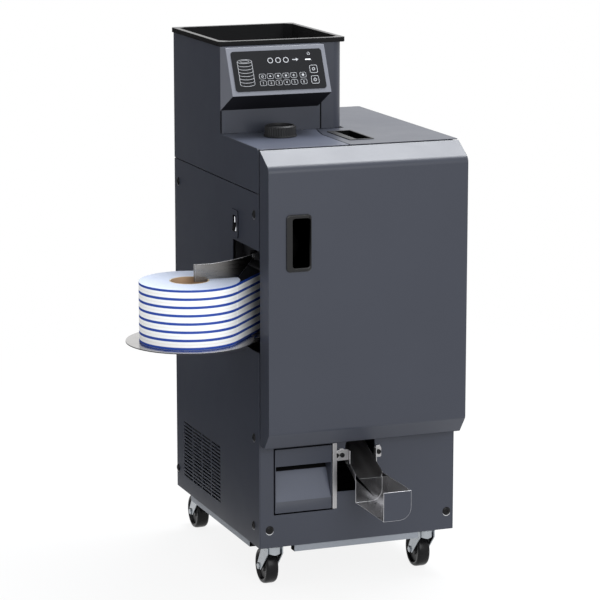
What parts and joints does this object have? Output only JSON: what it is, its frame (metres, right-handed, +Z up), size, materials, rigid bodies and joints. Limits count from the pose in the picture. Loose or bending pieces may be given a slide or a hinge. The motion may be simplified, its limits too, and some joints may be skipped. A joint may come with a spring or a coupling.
{
  "type": "coin wrapping machine",
  "caption": "Free-standing machine on casters that sorts coins from a hopper, wraps a stack in paper from a side reel and drops the roll down a chute into a tray.",
  "frame": {"origin": "on the floor, under the middle of the whole machine's box", "axes": "+Z up, -Y towards the operator at the door, +X to the operator's right"},
  "size_m": [0.6826, 0.7544, 1.111],
  "materials": {
    "panel_paint": "fine textured satin paint",
    "black_plastic": "fine matt grain",
    "black_steel": "black oxide",
    "overlay_film": "satin printed film",
    "stainless": "fine brushed",
    "zinc_steel": "zinc plated",
    "track_aluminium": "turned and anodised",
    "roller_rubber": "ground matt",
    "caster_rubber": "smooth matt",
    "cardboard": "wound board",
    "paper": "smooth paper with blue stripes",
    "circuit_board": "solder mask"
  },
  "bodies": {
    "cabinet": {"cabinet_frame": "zinc_steel", "left_panel": "panel_paint", "upper_left_panel": "panel_paint", "right_panel": "panel_paint", "back_panel": "panel_paint", "top_deck": "panel_paint", "tower_front": "panel_paint", "tower_shell": "panel_paint", "hopper": "black_plastic", "console": "panel_paint", "keypad_overlay": "overlay_film", "lower_front_panel": "panel_paint", "panel_screws": "black_steel", "chute_pipe": "stainless", "chute_tray": "stainless", "switch_bezel": "black_plastic", "power_inlet": "black_plastic", "fan_frame": "black_plastic", "control_board": "circuit_board", "power_supply": "zinc_steel", "pivot_brackets": "zinc_steel", "roll_arm": "stainless", "paper_web": "paper", "chassis": "zinc_steel", "drive_motor": "black_steel", "drive_belts": "roller_rubber", "stack_tube": "zinc_steel", "coin_track": "track_aluminium", "hopper_motor": "black_steel", "caster_plates": "zinc_steel"},
    "door": {"door": "panel_paint", "door_handle": "black_plastic"},
    "lid": {"lid": "panel_paint", "lid_pull": "black_plastic"},
    "reject_box": {"reject_box": "panel_paint"},
    "selector_knob": {"selector_knob": "black_plastic"},
    "rocker": {"rocker": "black_plastic"},
    "reel": {"roll_disc": "stainless", "paper_core": "cardboard", "paper_roll": "paper"},
    "hold_arm": {"hold_arm": "stainless"},
    "coin_disc": {"coin_disc": "track_aluminium"},
    "wrap_roller_left": {"wrap_roller_left": "roller_rubber"},
    "wrap_roller_right": {"wrap_roller_right": "roller_rubber"},
    "roller_arm": {"roller_arm": "zinc_steel"},
    "wrap_roller_front": {"wrap_roller_front": "roller_rubber"},
    "upper_crimper": {"upper_crimper": "zinc_steel"},
    "lower_crimper": {"lower_crimper": "zinc_steel"},
    "feed_roller": {"feed_roller": "roller_rubber"},
    "pinch_roller": {"pinch_roller": "roller_rubber"},
    "motor_pulley": {"motor_pulley": "zinc_steel"},
    "fan_rotor": {"fan_rotor": "black_plastic"},
    "fork_front_left": {"fork_front_left": "zinc_steel"},
    "wheel_front_left": {"wheel_front_left": "caster_rubber"},
    "fork_front_right": {"fork_front_right": "zinc_steel"},
    "wheel_front_right": {"wheel_front_right": "caster_rubber"},
    "fork_rear_left": {"fork_rear_left": "zinc_steel"},
    "wheel_rear_left": {"wheel_rear_left": "caster_rubber"},
    "fork_rear_right": {"fork_rear_right": "zinc_steel"},
    "wheel_rear_right": {"wheel_rear_right": "caster_rubber"}
  },
  "joints": [
    {"name": "door_hinge", "type": "hinge", "parent": "cabinet", "child": "door", "pos_m": [0.32715, -0.19825, 0.658], "axis": [0, 0, 1], "range_deg": [0, 110]},
    {"name": "lid_hinge", "type": "hinge", "parent": "cabinet", "child": "lid", "pos_m": [0.33315, 0.08475, 0.912], "axis": [0, 1, 0], "range_deg": [0, 95]},
    {"name": "reject_box_slide", "type": "slide", "parent": "cabinet", "child": "reject_box", "axis": [0, -1, 0], "range_m": [0, 0.18]},
    {"name": "selector_turn", "type": "hinge", "parent": "cabinet", "child": "selector_knob", "pos_m": [0.01365, -0.02425, 0.931], "axis": [0, 0, 1], "range_deg": [-135, 135]},
    {"name": "rocker_tip", "type": "hinge", "parent": "cabinet", "child": "rocker", "pos_m": [-0.08685, -0.04125, 0.7495], "axis": [0, -1, 0], "range_deg": [0, 14]},
    {"name": "reel_spin", "type": "hinge", "parent": "cabinet", "child": "reel", "pos_m": [-0.21185, -0.10525, 0.5905], "axis": [0, 0, 1], "continuous": true},
    {"name": "hold_arm_pivot", "type": "hinge", "parent": "cabinet", "child": "hold_arm", "pos_m": [-0.07185, -0.10525, 0.693], "axis": [0, 1, 0], "range_deg": [0, 45]},
    {"name": "coin_disc_spin", "type": "hinge", "parent": "cabinet", "child": "coin_disc", "pos_m": [0.04415, 0.19675, 0.888], "axis": [0, 0, 1], "continuous": true},
    {"name": "wrap_left_spin", "type": "hinge", "parent": "cabinet", "child": "wrap_roller_left", "pos_m": [0.10467, -0.05025, 0.5905], "axis": [0, 0, 1], "continuous": true},
    {"name": "wrap_right_spin", "type": "hinge", "parent": "cabinet", "child": "wrap_roller_right", "pos_m": [0.15663, -0.05025, 0.5905], "axis": [0, 0, 1], "continuous": true},
    {"name": "roller_arm_swing", "type": "hinge", "parent": "cabinet", "child": "roller_arm", "pos_m": [0.07365, -0.09725, 0.5905], "axis": [0, 0, -1], "range_deg": [0, 25]},
    {"name": "wrap_front_spin", "type": "hinge", "parent": "roller_arm", "child": "wrap_roller_front", "pos_m": [0.13065, -0.09525, 0.5905], "axis": [0, 0, 1], "continuous": true},
    {"name": "upper_crimp", "type": "slide", "parent": "cabinet", "child": "upper_crimper", "axis": [0, 0, -1], "range_m": [0, 0.008]},
    {"name": "lower_crimp", "type": "slide", "parent": "cabinet", "child": "lower_crimper", "axis": [0, 0, 1], "range_m": [0, 0.008]},
    {"name": "feed_spin", "type": "hinge", "parent": "cabinet", "child": "feed_roller", "pos_m": [0.03865, -0.0577, 0.5905], "axis": [0, 0, 1], "continuous": true},
    {"name": "pinch_spin", "type": "hinge", "parent": "cabinet", "child": "pinch_roller", "pos_m": [0.03865, -0.0788, 0.5905], "axis": [0, 0, 1], "continuous": true},
    {"name": "motor_spin", "type": "hinge", "parent": "cabinet", "child": "motor_pulley", "pos_m": [0.13065, 0.03275, 0.658], "axis": [0, 0, 1], "continuous": true},
    {"name": "fan_spin", "type": "hinge", "parent": "cabinet", "child": "fan_rotor", "pos_m": [-0.07685, 0.18075, 0.1958], "axis": [1, 0, 0], "continuous": true},
    {"name": "swivel_front_left", "type": "hinge", "parent": "cabinet", "child": "fork_front_left", "pos_m": [-0.04585, -0.13525, 0.086], "axis": [0, 0, 1], "continuous": true},
    {"name": "roll_front_left", "type": "hinge", "parent": "fork_front_left", "child": "wheel_front_left", "pos_m": [-0.04585, -0.10025, 0.0375], "axis": [1, 0, 0], "continuous": true},
    {"name": "swivel_front_right", "type": "hinge", "parent": "cabinet", "child": "fork_front_right", "pos_m": [0.29415, -0.13525, 0.086], "axis": [0, 0, 1], "continuous": true},
    {"name": "roll_front_right", "type": "hinge", "parent": "fork_front_right", "child": "wheel_front_right", "pos_m": [0.29415, -0.10025, 0.0375], "axis": [1, 0, 0], "continuous": true},
    {"name": "swivel_rear_left", "type": "hinge", "parent": "cabinet", "child": "fork_rear_left", "pos_m": [-0.04585, 0.30475, 0.086], "axis": [0, 0, 1], "continuous": true},
    {"name": "roll_rear_left", "type": "hinge", "parent": "fork_rear_left", "child": "wheel_rear_left", "pos_m": [-0.04585, 0.33975, 0.0375], "axis": [1, 0, 0], "continuous": true},
    {"name": "swivel_rear_right", "type": "hinge", "parent": "cabinet", "child": "fork_rear_right", "pos_m": [0.29415, 0.30475, 0.086], "axis": [0, 0, 1], "continuous": true},
    {"name": "roll_rear_right", "type": "hinge", "parent": "fork_rear_right", "child": "wheel_rear_right", "pos_m": [0.29415, 0.33975, 0.0375], "axis": [1, 0, 0], "continuous": true}
  ],
  "couplings": [
    {"joint": "wrap_right_spin", "follows": "wrap_left_spin", "ratio": 1},
    {"joint": "wrap_front_spin", "follows": "wrap_left_spin", "ratio": 1},
    {"joint": "motor_spin", "follows": "wrap_left_spin", "ratio": 1},
    {"joint": "pinch_spin", "follows": "feed_spin", "ratio": -1},
    {"joint": "lower_crimp", "follows": "upper_crimp", "ratio": 1}
  ]
}
